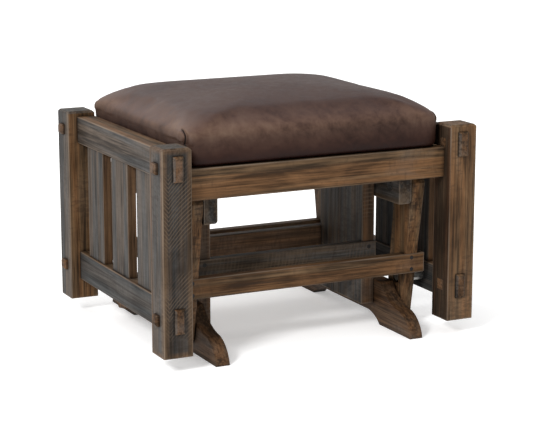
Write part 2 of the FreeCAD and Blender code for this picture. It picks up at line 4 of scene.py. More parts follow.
import bmesh
import bpy
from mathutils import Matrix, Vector


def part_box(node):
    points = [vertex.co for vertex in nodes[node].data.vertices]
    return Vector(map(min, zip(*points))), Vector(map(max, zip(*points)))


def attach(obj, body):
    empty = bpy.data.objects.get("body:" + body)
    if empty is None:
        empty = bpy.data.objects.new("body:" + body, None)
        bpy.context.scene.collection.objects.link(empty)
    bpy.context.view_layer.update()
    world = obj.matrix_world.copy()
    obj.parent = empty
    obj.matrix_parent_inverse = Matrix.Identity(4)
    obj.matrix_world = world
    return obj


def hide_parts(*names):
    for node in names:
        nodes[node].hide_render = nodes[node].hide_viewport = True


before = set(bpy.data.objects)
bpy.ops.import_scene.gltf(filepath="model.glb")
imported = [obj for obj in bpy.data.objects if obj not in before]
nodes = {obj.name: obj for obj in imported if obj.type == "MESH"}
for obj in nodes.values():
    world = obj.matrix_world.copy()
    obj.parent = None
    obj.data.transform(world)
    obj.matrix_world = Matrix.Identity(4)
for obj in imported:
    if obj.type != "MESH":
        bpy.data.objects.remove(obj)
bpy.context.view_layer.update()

# Camera, the nearest one without a shift to the view that the photo's post corners give
CAMERA_PLACE = (-1.4305, -2.9282, 0.9042)
CAMERA_YAW = math.degrees(0.4572)
CAMERA_PITCH = math.degrees(0.2163)
CAMERA_LENS = 120.42
CAMERA_SENSOR = 36.0
CAMERA_REACH = 60.0

# Light
TOP_PLACE = (-0.6, 2.9, 2.6)
TOP_POWER = 34.0
TOP_SIZE = 2.6
KEY_PLACE = (-3.3, -2.2, 2.7)
KEY_POWER = 150.0
KEY_SIZE = 0.9
LIGHT_TARGET = (0.0, 0.0, 0.25)
WHITE = (1.0, 1.0, 1.0)
SKY_STRENGTH = 0.90
FLOOR_COLOUR = (0.93, 0.93, 0.93)
FLOOR_GLOW = 0.30
FLOOR_ROUGHNESS = 0.9
FLOOR_REACH = 14.0

# Stains as pairs of linear colours, which lie in streaks beside each other
WARM = ((0.108, 0.054, 0.0235), (0.088, 0.053, 0.0275))
AMBER = ((0.140, 0.066, 0.027), (0.085, 0.047, 0.024))
BROWN = ((0.085, 0.043, 0.020), (0.072, 0.042, 0.024))
# Painted shade: a darker copy of the brown stain, for the shaded sides of the right posts
SHADED_BROWN = ((0.042, 0.021, 0.011), (0.032, 0.020, 0.012))
GREY = ((0.042, 0.040, 0.038), (0.066, 0.050, 0.038))
DARK_GREY = ((0.030, 0.030, 0.029), (0.040, 0.034, 0.029))
SOOT = ((0.021, 0.020, 0.019), (0.029, 0.020, 0.014))
CHARCOAL = ((0.050, 0.046, 0.042), (0.062, 0.043, 0.028))
RAW = ((0.32, 0.20, 0.11), (0.38, 0.26, 0.16))

# Veneers of the plywood, from dark to pale
PLYWOOD = ((0.16, 0.09, 0.045), (0.32, 0.20, 0.11), (0.48, 0.33, 0.20))

# Colours laid over the stains
WASH = (0.034, 0.032, 0.030)
STREAK = (0.016, 0.011, 0.008)
WORN_EDGE = (0.165, 0.125, 0.092)
SAW_LINE = (0.105, 0.074, 0.050)

# Layers of the grain: share of the scale along the board, then scale, detail, roughness and distortion
FINE_GRAIN = (0.030, 280.0, 5.0, 0.66, 0.15)
WIDE_GRAIN = (0.036, 100.0, 4.0, 0.60, 0.30)
PORES = (0.030, 460.0, 2.0, 0.6, 0.0)
HUE_STREAKS = (0.035, 60.0, 3.0, 0.5, 0.2)
PATCHES = (0.30, 14.0, 4.0, 0.60, 0.8)
RUBBING = (0.15, 40.0, 2.0, 0.55, 0.0)
GRAIN_SHIFT = 4.0
RIPPLE_ACROSS = 55.0
RIPPLE_ALONG = 150.0

# Wood
LIGHT_SHARE = 1.6
FINE_SHARE = 0.60
GRAIN_SHARE = 0.60
STREAK_STRENGTH = 0.40
PORE_STRENGTH = 0.45
EDGE_WIDTH = 0.0026
HALO_WIDTH = 0.0110
BEVEL_RADIUS = 0.0016
BEVEL_SAMPLES = 4
GRAIN_BUMP = 0.35
GRAIN_DEPTH = 0.0010
WOOD_SPECULAR = 0.09
# Painted shade in crevices and under parts: its reach, darkness and samples
SHADE_REACH = 0.010
SHADE_DARKNESS = 0.22
SHADE_SAMPLES = 6

# Saw marks
SAW_RADIUS = 0.20
SAW_PITCH = 0.0074
SAW_MIDDLE = (0.09, 0.12)
SAW_SWEEP = 0.16
SAW_WANDER = 0.010
SAW_ON_SIDES = 0.25
SAW_POSITIVE = 1.0

# Leather
LEATHER_DARK = (0.014, 0.0055, 0.0036)
LEATHER_BROWN = (0.056, 0.0300, 0.0210)
LEATHER_TAN = (0.100, 0.062, 0.044)
# Painted sheen: the greyer tone of up-facing leather, for the light and its reflection on the top
LEATHER_TOP_SHEEN = (0.042, 0.0225, 0.0210)
# Painted light by height, as colour multipliers: painted shade at the foot and a painted highlight on the
# rolled edge
LEATHER_FOOT_SHADE = (0.45, 0.17, 0.10)
LEATHER_ROLL_HIGHLIGHT = (1.70, 1.80, 1.75)
# Painted shade in the slits of the corner pleats
LEATHER_SLIT_SHADE = (0.004, 0.002, 0.0015)
LEATHER_SPECULAR = 0.14
CLOUD_SHARE = 0.60
# Shares of the painted shade at the foot and of the painted sheen on the top
FOOT_SHADE_STRENGTH = 0.85
TOP_SHEEN_STRENGTH = 0.60
# Heights of the painted shade at the foot and of the painted highlight on the rolled edge
SHADE_FOOT_HEIGHT = 0.350
SHADE_END_HEIGHT = 0.392
HIGHLIGHT_HEIGHT = 0.412
HIGHLIGHT_END_HEIGHT = 0.436

# Metal, nylon and plywood
BLACK_STEEL = (0.012, 0.010, 0.009)
ZINC_STEEL = (0.42, 0.42, 0.40)
NYLON = ((0.55, 0.54, 0.50), (0.70, 0.69, 0.65))
METAL_DARK_SHARE = 0.55
PLYWOOD_ROUGHNESS = 0.7
PLYWOOD_LAYERS = 2600.0


# Nodes of a material
class Shader:
    """Builds one material's node tree, with short calls for the nodes it uses."""

    def __init__(self, name):
        self.material = bpy.data.materials.new(name)
        self.material.use_nodes = True
        self.tree = self.material.node_tree
        self.tree.nodes.clear()
        output = self.tree.nodes.new("ShaderNodeOutputMaterial")
        self.surface = self.tree.nodes.new("ShaderNodeBsdfPrincipled")
        self.link(self.surface.outputs[0], output.inputs["Surface"])

    def link(self, source, target):
        self.tree.links.new(source, target)

    def put(self, value, target):
        if isinstance(value, bpy.types.NodeSocket):
            self.link(value, target)
        elif isinstance(value, tuple) and len(value) == 3 and target.type == "RGBA":
            target.default_value = (*value, 1.0)
        else:
            target.default_value = value

    def node(self, kind, **inputs):
        made = self.tree.nodes.new(kind)
        for name, value in inputs.items():
            self.put(value, made.inputs[name.replace("_", " ")])
        return made

    def coordinates(self, kind="Object"):
        return self.node("ShaderNodeTexCoord").outputs[kind]

    def mapping(self, vector, scale=(1.0, 1.0, 1.0), location=(0.0, 0.0, 0.0)):
        made = self.node("ShaderNodeMapping", Vector=vector, Scale=scale)
        made.inputs["Location"].default_value = location
        return made.outputs[0]

    def noise(self, vector, scale, detail=4.0, roughness=0.55, distortion=0.0):
        made = self.node("ShaderNodeTexNoise", Vector=vector, Scale=scale, Detail=detail)
        made.inputs["Roughness"].default_value = roughness
        made.inputs["Distortion"].default_value = distortion
        return made.outputs["Fac"]

    def ramp(self, value, *stops):
        made = self.node("ShaderNodeValToRGB", Fac=value)
        elements = made.color_ramp.elements
        while len(elements) < len(stops):
            elements.new(0.5)
        for element, (place, colour) in zip(elements, stops):
            element.position = place
            grey = isinstance(colour, (int, float))
            element.color = (colour, colour, colour, 1.0) if grey else (*colour, 1.0)
        return made.outputs["Color"]

    def mix(self, share, first, second, mode="MIX"):
        made = self.tree.nodes.new("ShaderNodeMix")
        made.data_type = "RGBA"
        made.blend_type = mode
        colours = [socket for socket in made.inputs if socket.type == "RGBA"]
        self.put(share, made.inputs[0])
        self.put(first, colours[0])
        self.put(second, colours[1])
        return [socket for socket in made.outputs if socket.type == "RGBA"][0]

    def math(self, operation, first, second=0.0):
        made = self.tree.nodes.new("ShaderNodeMath")
        made.operation = operation
        self.put(first, made.inputs[0])
        self.put(second, made.inputs[1])
        return made.outputs[0]

    def blend(self, share, first, second):
        """The weighted mean of two values: that share of the first, and the rest of the second."""
        rest = self.math("MULTIPLY", second, 1.0 - share)
        return self.math("ADD", self.math("MULTIPLY", first, share), rest)

    def split(self, vector):
        return self.node("ShaderNodeSeparateXYZ", Vector=vector).outputs

    def bump(self, height, strength, distance, normal=None):
        made = self.node("ShaderNodeBump", Height=height, Strength=strength, Distance=distance)
        if normal is not None:
            self.link(normal, made.inputs["Normal"])
        return made.outputs[0]


def edge_mask(s, place, box, width):
    """How near a point on a board is to one of its edges: 1 on an edge, 0 at width and beyond."""
    low, high = box
    parts = s.split(place)
    gaps = []
    for axis in range(3):
        middle = (low[axis] + high[axis]) / 2.0
        half = (high[axis] - low[axis]) / 2.0
        offset = s.math("ABSOLUTE", s.math("SUBTRACT", parts[axis], middle))
        gaps.append(s.math("SUBTRACT", half, offset))
    pairs = [
        s.math("MAXIMUM", gaps[0], gaps[1]),
        s.math("MAXIMUM", gaps[1], gaps[2]),
        s.math("MAXIMUM", gaps[0], gaps[2]),
    ]
    nearest = s.math("MINIMUM", s.math("MINIMUM", pairs[0], pairs[1]), pairs[2])
    return s.ramp(s.math("DIVIDE", nearest, width), (0.35, 1.0), (1.0, 0.0))


def saw_marks(s, place, faces, grain, seed):
    """Arcs left by a circular saw: one arc of the blade's radius, repeated along the grain."""
    chooser = random.Random(seed * 7 + 1)
    parts = s.split(place)
    first, second = [axis for axis in range(3) if axis != grain]
    on_first = s.ramp(faces[first], (0.45, 0.0), (0.55, 1.0))
    step = s.math("SUBTRACT", parts[second], parts[first])
    across = s.math("ADD", s.math("MULTIPLY", on_first, step), parts[first])
    middle = chooser.uniform(*SAW_MIDDLE)
    offset = s.math("PINGPONG", s.math("ADD", across, SAW_POSITIVE + middle), SAW_SWEEP)
    sagitta = s.math("SQRT", s.math("SUBTRACT", SAW_RADIUS ** 2, s.math("POWER", offset, 2.0)))
    wobble = s.math("MULTIPLY", s.noise(place, 9.0, 2.0), SAW_WANDER)
    run = s.math("ADD", s.math("SUBTRACT", parts[grain], sagitta), wobble)
    wave = s.math("SINE", s.math("MULTIPLY", run, 2.0 * math.pi / SAW_PITCH))
    fade = s.ramp(s.noise(place, 13.0, 3.0, 0.6), (0.42, 0.0), (0.56, 1.0))
    fade = s.math("MULTIPLY", fade, s.ramp(faces[0], (0.45, 1.0), (0.55, SAW_ON_SIDES)))
    return s.math("MULTIPLY", s.ramp(wave, (0.10, 0.0), (0.95, 1.0)), fade)


def wood(name, grain, seed, front, side, top=None, saw=0.0, figure=0.3, wash=0.5, edge=0.7, halo=0.0,
         box=None, plugs=None):
    """Stained wood with its grain along one axis.

    front is the stain of surfaces that face front or rear, side that of those facing left or right, and
    top that of level ones. saw is the strength of the saw marks, figure that of the cross figure, wash
    that of the charcoal patches, edge that of worn edges and halo that of the brown beside them.
    box holds the board's corners, and plugs the middle and radius of its wooden plugs.
    """
    s = Shader(name)
    place = s.coordinates()
    shift = tuple(random.Random(seed + index).uniform(-GRAIN_SHIFT, GRAIN_SHIFT) for index in range(3))

    def layer(share, *settings):
        stretch = [1.0, 1.0, 1.0]
        stretch[grain] = share
        return s.noise(s.mapping(place, scale=tuple(stretch), location=shift), *settings)

    fine = layer(*FINE_GRAIN)
    wide = layer(*WIDE_GRAIN)
    pores = layer(*PORES)
    hue = layer(*HUE_STREAKS)
    patch = layer(*PATCHES)
    tone = s.blend(GRAIN_SHARE, s.blend(FINE_SHARE, fine, wide), patch)
    second_share = s.ramp(hue, (0.43, 0.0), (0.57, 1.0))

    def stain(colours):
        first, second = (tuple(channel * LIGHT_SHARE for channel in colour) for colour in colours)
        return s.mix(second_share, first, second)

    facing = s.split(s.coordinates("Normal"))
    faces = [s.math("ABSOLUTE", facing[axis]) for axis in range(3)]
    is_side = s.ramp(faces[0], (0.45, 0.0), (0.8, 1.0))
    is_level = s.ramp(faces[2], (0.45, 0.0), (0.8, 1.0))
    colour = s.mix(is_level, s.mix(is_side, stain(front), stain(side)), stain(top or front))
    washed = s.math("MULTIPLY", s.ramp(patch, (0.50, 0.0), (0.62, 1.0)), wash)
    colour = s.mix(washed, colour, tuple(channel * LIGHT_SHARE for channel in WASH))
    if halo > 0 and box is not None:
        near = s.math("MULTIPLY", edge_mask(s, place, box, HALO_WIDTH), halo)
        colour = s.mix(near, colour, stain(WARM))
    light = s.ramp(tone, (0.42, 0.20), (0.50, 0.60), (0.58, 1.0))
    colour = s.mix(1.0, colour, light, "MULTIPLY")

    streak = s.ramp(wide, (0.33, 1.0), (0.41, 0.0))
    colour = s.mix(s.math("MULTIPLY", streak, STREAK_STRENGTH), colour, STREAK)
    dots = s.ramp(pores, (0.33, 1.0), (0.42, 0.0))
    colour = s.mix(s.math("MULTIPLY", dots, PORE_STRENGTH), colour, STREAK)

    squeeze = [RIPPLE_ACROSS, RIPPLE_ACROSS, RIPPLE_ACROSS]
    squeeze[grain] = RIPPLE_ALONG
    ripple = s.noise(s.mapping(place, scale=tuple(squeeze), location=shift), 1.0, 2.0, 0.6, 0.5)
    spots = s.ramp(s.math("MULTIPLY", ripple, patch), (0.27, 0.0), (0.36, 1.0))
    colour = s.mix(s.math("MULTIPLY", spots, figure), colour, STREAK)

    heights = s.math("ADD", s.math("MULTIPLY", fine, 0.6), s.math("MULTIPLY", pores, 0.5))
    if saw > 0:
        marks = saw_marks(s, place, faces, grain, seed)
        colour = s.mix(s.math("MULTIPLY", marks, saw), colour, SAW_LINE)
        heights = s.math("ADD", heights, s.math("MULTIPLY", marks, saw))
    if edge > 0 and box is not None:
        worn = edge_mask(s, place, box, EDGE_WIDTH)
        rub = s.ramp(layer(*RUBBING), (0.36, 0.15), (0.60, 1.0))
        colour = s.mix(s.math("MULTIPLY", s.math("MULTIPLY", worn, rub), edge), colour, WORN_EDGE)
    if plugs is not None:
        # Painted shade round the recessed wooden plugs
        colour = s.mix(plug_shade_ring(s, place, plugs), colour, STREAK)
    # Painted shade: an ambient-occlusion node darkens the colour in crevices, joints and under parts, where
    # shade falls
    crevice = s.node("ShaderNodeAmbientOcclusion", Distance=SHADE_REACH)
    crevice.samples = SHADE_SAMPLES
    shade = s.ramp(crevice.outputs["AO"], (0.40, SHADE_DARKNESS), (0.90, 1.0))
    colour = s.mix(1.0, colour, shade, "MULTIPLY")
    s.put(colour, s.surface.inputs["Base Color"])
    s.put(s.ramp(fine, (0.3, 0.66), (0.7, 0.52)), s.surface.inputs["Roughness"])
    s.surface.inputs["Specular IOR Level"].default_value = WOOD_SPECULAR
    rounded = s.node("ShaderNodeBevel", Radius=BEVEL_RADIUS)
    rounded.samples = BEVEL_SAMPLES
    s.link(s.bump(heights, GRAIN_BUMP, GRAIN_DEPTH, rounded.outputs[0]), s.surface.inputs["Normal"])
    return s.material


def plug_shade_ring(s, place, plugs):
    """The dark ring of painted shade round each recessed wooden plug; plugs gives its middle's Y and Z, and
    its radius.
    """
    reach, height, radius = plugs
    parts = s.split(place)
    away = s.math("SUBTRACT", s.math("ABSOLUTE", parts["Y"]), reach)
    up = s.math("SUBTRACT", parts["Z"], height)
    distance = s.math("SQRT", s.math("ADD", s.math("POWER", away, 2.0), s.math("POWER", up, 2.0)))
    share = s.math("DIVIDE", distance, radius)
    return s.ramp(s.math("DIVIDE", share, 2.0), (0.455, 0.0), (0.49, 1.0), (0.54, 1.0), (0.58, 0.0))


def leather():
    """Waxed brown leather: mottled, with a pebbled grain, and with painted light: painted shade darkens its
    foot and the slits of its pleats, a painted highlight makes it paler where it rolls over, and a painted
    sheen tone lies on its top.
    """
    s = Shader("leather")
    place = s.coordinates()
    parts = s.split(place)
    cloud = s.noise(place, 9.0, 5.0, 0.60, 0.8)
    mottle = s.noise(place, 60.0, 4.0, 0.6, 0.4)
    blend = s.blend(CLOUD_SHARE, cloud, mottle)
    colour = s.ramp(blend, (0.32, LEATHER_DARK), (0.50, LEATHER_BROWN), (0.74, LEATHER_TAN))
    # Painted shade: the leather is mixed towards dark brown towards its foot
    low = s.ramp(s.math("MULTIPLY", parts["Z"], 2.0), (0.700, 1.0), (0.810, 0.0))
    colour = s.mix(s.math("MULTIPLY", low, FOOT_SHADE_STRENGTH), colour, LEATHER_DARK)
    # Painted sheen: up-facing leather is mixed towards a greyer tone, for the light and its reflection on
    # the top
    up = s.ramp(s.split(s.coordinates("Normal"))["Z"], (0.50, 0.0), (0.97, 1.0))
    colour = s.mix(s.math("MULTIPLY", up, TOP_SHEEN_STRENGTH), colour, LEATHER_TOP_SHEEN)
    # Painted shade: the slits of the corner pleats are painted near black
    slit_shade = pleat_mask(s, parts)
    colour = s.mix(slit_shade, colour, LEATHER_SLIT_SHADE)
    # Painted light by height: painted shade darkens the foot, and a painted highlight brightens the roll of
    # the top edge
    shade_stops = (SHADE_FOOT_HEIGHT, LEATHER_FOOT_SHADE), (SHADE_END_HEIGHT, WHITE)
    highlight_stops = (HIGHLIGHT_HEIGHT, LEATHER_ROLL_HIGHLIGHT), (HIGHLIGHT_END_HEIGHT, WHITE)
    painted_light_by_height = s.ramp(parts["Z"], *shade_stops, *highlight_stops)
    colour = s.mix(1.0, colour, painted_light_by_height, "MULTIPLY")
    s.put(colour, s.surface.inputs["Base Color"])
    cells = s.node("ShaderNodeTexVoronoi", Vector=place, Scale=620.0)
    cells.feature = "DISTANCE_TO_EDGE"
    pebble = s.ramp(cells.outputs["Distance"], (0.0, 0.0), (0.22, 1.0))
    creases = s.noise(place, 240.0, 4.0, 0.65, 0.8)
    s.put(s.ramp(mottle, (0.3, 0.50), (0.7, 0.62)), s.surface.inputs["Roughness"])
    s.surface.inputs["Specular IOR Level"].default_value = LEATHER_SPECULAR
    first = s.bump(pebble, 0.14, 0.0005)
    second = s.bump(creases, 0.20, 0.0008, first)
    s.link(s.bump(s.math("SUBTRACT", 1.0, slit_shade), 0.6, 0.002, second), s.surface.inputs["Normal"])
    return s.material


def pleat_mask(s, parts):
    """1 in the slit of a corner pleat and 0 beside it."""
    rise = s.math("DIVIDE", s.math("SUBTRACT", parts["Z"], PLEAT_LOW), PLEAT_HIGH - PLEAT_LOW)
    line = s.math("SUBTRACT", PLEAT_FOOT, s.math("MULTIPLY", rise, PLEAT_LEAN))
    away = s.math("ABSOLUTE", s.math("SUBTRACT", s.math("ABSOLUTE", parts["X"]), line))
    slit = s.ramp(s.math("DIVIDE", away, SLIT_REACH), (0.20, 1.0), (0.42, 0.0))
    above = s.ramp(rise, (0.0, 1.0), (0.80, 1.0), (1.0, 0.0))
    outwards = s.math("GREATER_THAN", s.math("ABSOLUTE", parts["Y"]), PLEAT_INNER_Y)
    return s.math("MULTIPLY", s.math("MULTIPLY", slit, above), outwards)


def metal(name, colour, roughness, metallic=1.0):
    s = Shader(name)
    place = s.coordinates()
    cloud = s.noise(place, 210.0, 4.0, 0.6)
    darker = tuple(channel * METAL_DARK_SHARE for channel in colour)
    s.put(s.ramp(cloud, (0.35, darker), (0.65, colour)), s.surface.inputs["Base Color"])
    s.put(s.ramp(cloud, (0.3, roughness), (0.7, roughness + 0.14)), s.surface.inputs["Roughness"])
    s.surface.inputs["Metallic"].default_value = metallic
    s.link(s.bump(s.noise(place, 900.0, 2.0), 0.1, 0.0003), s.surface.inputs["Normal"])
    return s.material


def nylon():
    s = Shader("nylon")
    cloud = s.noise(s.coordinates(), 90.0, 3.0)
    colours = s.ramp(cloud, (0.3, NYLON[0]), (0.7, NYLON[1]))
    s.put(colours, s.surface.inputs["Base Color"])
    s.put(s.ramp(cloud, (0.3, 0.40), (0.7, 0.52)), s.surface.inputs["Roughness"])
    return s.material


def plywood():
    """Plain plywood: pale face veneers and the glued layers on its edges."""
    s = Shader("plywood")
    place = s.coordinates()
    grain = s.noise(s.mapping(place, scale=(0.08, 1.0, 1.0)), 60.0, 4.0, 0.6, 0.4)
    colour = s.ramp(grain, (0.35, PLYWOOD[0]), (0.5, PLYWOOD[1]), (0.68, PLYWOOD[2]))
    layers = s.math("SINE", s.math("MULTIPLY", s.split(place)["Z"], PLYWOOD_LAYERS))
    on_edge = s.ramp(s.math("ABSOLUTE", s.split(s.coordinates("Normal"))["Z"]), (0.3, 1.0), (0.6, 0.0))
    share = s.math("MULTIPLY", on_edge, s.ramp(layers, (0.4, 0.0), (0.6, 0.5)))
    s.put(s.mix(share, colour, PLYWOOD[0]), s.surface.inputs["Base Color"])
    s.surface.inputs["Roughness"].default_value = PLYWOOD_ROUGHNESS
    s.link(s.bump(grain, 0.2, 0.0008), s.surface.inputs["Normal"])
    return s.material


def dress_board(node, grain, seed, *stains, **options):
    """Gives a CAD node its own wood, with pale worn edges."""
    dress(node, wood(node, grain, seed, *stains, box=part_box(node), **options))


def dress(node, material):
    """Gives a CAD node its material in all its slots."""
    mesh = nodes[node].data
    if not mesh.materials:
        mesh.materials.append(material)
    for index in range(len(mesh.materials)):
        mesh.materials[index] = material


X, Y, Z = 0, 1, 2
SIDES = ("left", "right")
ENDS = ("front", "rear")


def plug_place():
    """Middle and radius of the wooden plugs over the upper pivots."""
    low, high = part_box("upper_pivot_plugs")
    radius = (high.z - low.z) / 2.0
    return high.y - radius, (high.z + low.z) / 2.0, radius


def dress_seat_frame():
    post_stains = {
        ("front", "left"): (SOOT, GREY, DARK_GREY),
        # The right posts' sides carry painted shade in their darker stain
        ("front", "right"): (WARM, SHADED_BROWN, WARM),
        ("rear", "left"): (WARM, GREY, GREY),
        ("rear", "right"): (WARM, SHADED_BROWN, WARM),
    }
    for seed, ((end, side), stains) in enumerate(post_stains.items(), start=12):
        sawn = (end, side) == ("front", "left")
        looks = dict(saw=0.5, halo=0.5, wash=0.3) if sawn else dict(saw=0.0, wash=0.15)
        dress_board("post_%s_%s" % (end, side), Z, seed, *stains, figure=0.35, **looks)
    for seed, side in enumerate(SIDES, start=16):
        dress_board("side_rail_upper_" + side, Y, seed, BROWN, GREY, WARM, figure=0.2, wash=0.4)
        dress_board("side_rail_lower_" + side, Y, seed + 2, BROWN, DARK_GREY, WARM, figure=0.2, wash=0.5)
        for number in (1, 2, 3):
            name = "slat_%s_%d" % (side, number)
            dress_board(name, Z, seed * 3 + number, AMBER, GREY, figure=0.15, wash=0.25, edge=0.35)
    for seed, end in enumerate(ENDS, start=60):
        dress_board("end_rail_" + end, X, seed, WARM, WARM, figure=0.25, wash=0.45)
        cleat = "deck_cleat_" + end
        dress(cleat, wood(cleat, X, seed + 2, RAW, RAW, figure=0.1, wash=0.0))
    dress("tenon_pegs", wood("tenon_pegs", X, 91, BROWN, BROWN, figure=0.3, wash=0.3))
    dress("seat_deck", plywood())


def dress_base():
    for seed, side in enumerate(SIDES, start=31):
        dress("foot_" + side, wood("foot_" + side, Y, seed, BROWN, BROWN, BROWN, figure=0.25, wash=0.5))
        bar = "bearing_bar_" + side
        dress_board(bar, Y, seed + 2, CHARCOAL, CHARCOAL, saw=0.35, wash=0.3, plugs=plug_place())
        dress_board("upright_" + side, Z, seed + 4, BROWN, CHARCOAL, saw=0.45, wash=0.5)
    dress_board("base_stretcher_front", X, 71, CHARCOAL, CHARCOAL, DARK_GREY, saw=0.3, wash=0.4)
    dress_board("base_stretcher_rear", X, 72, BROWN, BROWN, CHARCOAL, wash=0.2)
    dress("upper_pivot_plugs", wood("upper_pivot_plugs", X, 92, DARK_GREY, DARK_GREY, figure=0.2))


def dress_arms():
    for seed, end in enumerate(ENDS, start=41):
        dress_board("arm_stretcher_" + end, X, seed, WARM, BROWN, figure=0.25, wash=0.3)
        for turn, side in enumerate(SIDES):
            arm = "arm_%s_%s" % (end, side)
            dress(arm, wood(arm, Z, seed + 10 + turn, WARM, WARM, figure=0.6, wash=0.2))


def dress_hardware():
    black = metal("black_steel", BLACK_STEEL, 0.60, 0.2)
    zinc = metal("zinc_steel", ZINC_STEEL, 0.34)
    white = nylon()
    for name in nodes:
        if "screws" in name:
            dress(name, black)
        elif "bushes" in name:
            dress(name, white)
        elif name.endswith(("bolts", "washers", "nuts", "spacers", "inserts")):
            dress(name, zinc)


# Cushion
CUSHION_CLEAR = 0.0002
CUSHION_SIDE = 0.028
CUSHION_SHOULDER = 0.054
CUSHION_INSET = 0.052
CUSHION_LIFT = 0.004
CUSHION_BULGE = 0.014
CUSHION_BULGE_HEIGHT = 0.404
CUSHION_TURN = 78.0
CUSHION_BULGE_REACH = 0.024
CUSHION_FOOT_INSET = 0.0015
CUSHION_FREE_HEIGHT = 0.391
CUSHION_ROLL = 0.0095
CUSHION_CORNER = 0.024
CUSHION_ROUND = 168
CUSHION_CORNER_SHARE = 0.9
CUSHION_SIDE_ROWS = 6
CUSHION_ROLL_ROWS = 12
CUSHION_CROWN_ROWS = 14
CUSHION_FRONT_SPARE = 0.004
CUSHION_VOXEL = 0.007
CUSHION_CAP = 0.006
CUSHION_FRAMES = 16
CUSHION_PRESSURE = 3.0
CUSHION_STIFFNESS = 30.0
CUSHION_BENDING = 4.0
CUSHION_HELD = 0.004
CUSHION_RELAX = 5

# Pleats of the cushion
PLEAT_LOW = 0.386
PLEAT_HIGH = 0.413
PLEAT_FOOT = 0.2462
PLEAT_LEAN = 0.0030
PLEAT_DEPTH = 0.0042
PLEAT_WIDTH = 0.0020
PLEAT_INNER_Y = 0.19
PLEAT_FADE = 4.0
SLIT_REACH = 0.004
LIP_HEIGHT = 0.0012
LIP_PLACE = 0.0036
LIP_WIDTH = 0.0026
FOLD_HEIGHT = 0.0010
FOLD_PLACE = 0.0060
FOLD_WIDTH = 0.0045
FINE_MESH_X = 0.232
FINE_MESH_Y = 0.195
FINE_MESH_BELOW = 0.01
FINE_MESH_ABOVE = 0.008


def rounded_point(half_x, half_y, corner, share):
    """A point at that share of the way round a rounded rectangle, evenly by length."""
    straight_x = 2.0 * (half_x - corner)
    straight_y = 2.0 * (half_y - corner)
    arc = math.pi * corner / 2.0
    total = 2.0 * (straight_x + straight_y) + 4.0 * arc
    run = (share * total) % total
    x, y = -(half_x - corner), -half_y
    for length, direction in ((straight_x, 0), (straight_y, 90), (straight_x, 180), (straight_y, 270)):
        heading = math.radians(direction)
        forward = Vector((math.cos(heading), math.sin(heading)))
        inward = Vector((-forward.y, forward.x))
        if run <= length:
            return x + forward.x * run, y + forward.y * run
        run -= length
        x += forward.x * length
        y += forward.y * length
        if run <= arc:
            turn = run / corner
            spoke = forward * math.sin(turn) - inward * math.cos(turn)
            point = Vector((x, y)) + (inward + spoke) * corner
            return point.x, point.y
        run -= arc
        x += (forward.x + inward.x) * corner
        y += (forward.y + inward.y) * corner
    return x, y


def cushion_rows(low, high):
    """Inset, height and share of the width for each ring of the pad, from its foot to its crown."""
    bottom = low.z + CUSHION_CLEAR
    widest = bottom + CUSHION_SIDE
    last_turn = math.radians(CUSHION_TURN)
    last_inset = CUSHION_INSET * (1.0 - math.cos(last_turn))
    shoulder = widest + CUSHION_SHOULDER * math.sin(last_turn)
    crown = high.z + CUSHION_LIFT - shoulder
    rows = []
    for step in range(CUSHION_SIDE_ROWS):
        rise = step / CUSHION_SIDE_ROWS
        rows.append((CUSHION_FOOT_INSET * (1.0 - rise) ** 1.4, bottom + CUSHION_SIDE * rise, 1.0))
    for step in range(CUSHION_ROLL_ROWS):
        turn = last_turn * step / CUSHION_ROLL_ROWS
        inset = CUSHION_INSET * (1.0 - math.cos(turn))
        rows.append((inset, widest + CUSHION_SHOULDER * math.sin(turn), 1.0))
    for step in range(CUSHION_CROWN_ROWS):
        share = math.cos(math.radians(90.0 * step / CUSHION_CROWN_ROWS))
        rows.append((last_inset, shoulder + crown * (1.0 - share ** 2), share))
    return rows


def side_bulge(height):
    """How far the left and right sides swell out at a height, above the side rails."""
    away = min(1.0, abs(height - CUSHION_BULGE_HEIGHT) / CUSHION_BULGE_REACH)
    return CUSHION_BULGE * math.cos(away * math.pi / 2.0) ** 2


def make_cushion():
    """A boxed leather pad: flat below, full sides, a rolled top edge, a crown and a pleat at each corner."""
    low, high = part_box("cushion")
    half_x = (high.x - low.x) / 2.0
    half_y = (high.y - low.y) / 2.0
    mesh = bmesh.new()
    rings = []
    for inset, height, share in cushion_rows(low, high):
        bulge = side_bulge(height) if share == 1.0 else 0.0
        corner = CUSHION_CORNER + inset * CUSHION_CORNER_SHARE
        ring = []
        for index in range(CUSHION_ROUND):
            x, y = rounded_point(half_x - inset + bulge, half_y - inset, corner, index / CUSHION_ROUND)
            ring.append(mesh.verts.new((x * share, y * share, height)))
        rings.append(ring)
    for lower, upper in zip(rings, rings[1:]):
        for index in range(CUSHION_ROUND):
            after = (index + 1) % CUSHION_ROUND
            mesh.faces.new((lower[index], lower[after], upper[after], upper[index]))
    mesh.faces.new(list(reversed(rings[0])))
    mesh.faces.new(rings[-1])
    piece = as_object("cushion_leather", mesh)
    puff(piece)
    sew_pleats(piece)
    return piece


def as_object(name, mesh):
    data = bpy.data.meshes.new(name)
    mesh.to_mesh(data)
    mesh.free()
    piece = bpy.data.objects.new(name, data)
    bpy.context.scene.collection.objects.link(piece)
    return piece


def evaluated_copy(piece):
    """The piece's mesh with its modifiers applied."""
    return bpy.data.meshes.new_from_object(piece.evaluated_get(bpy.context.evaluated_depsgraph_get()))


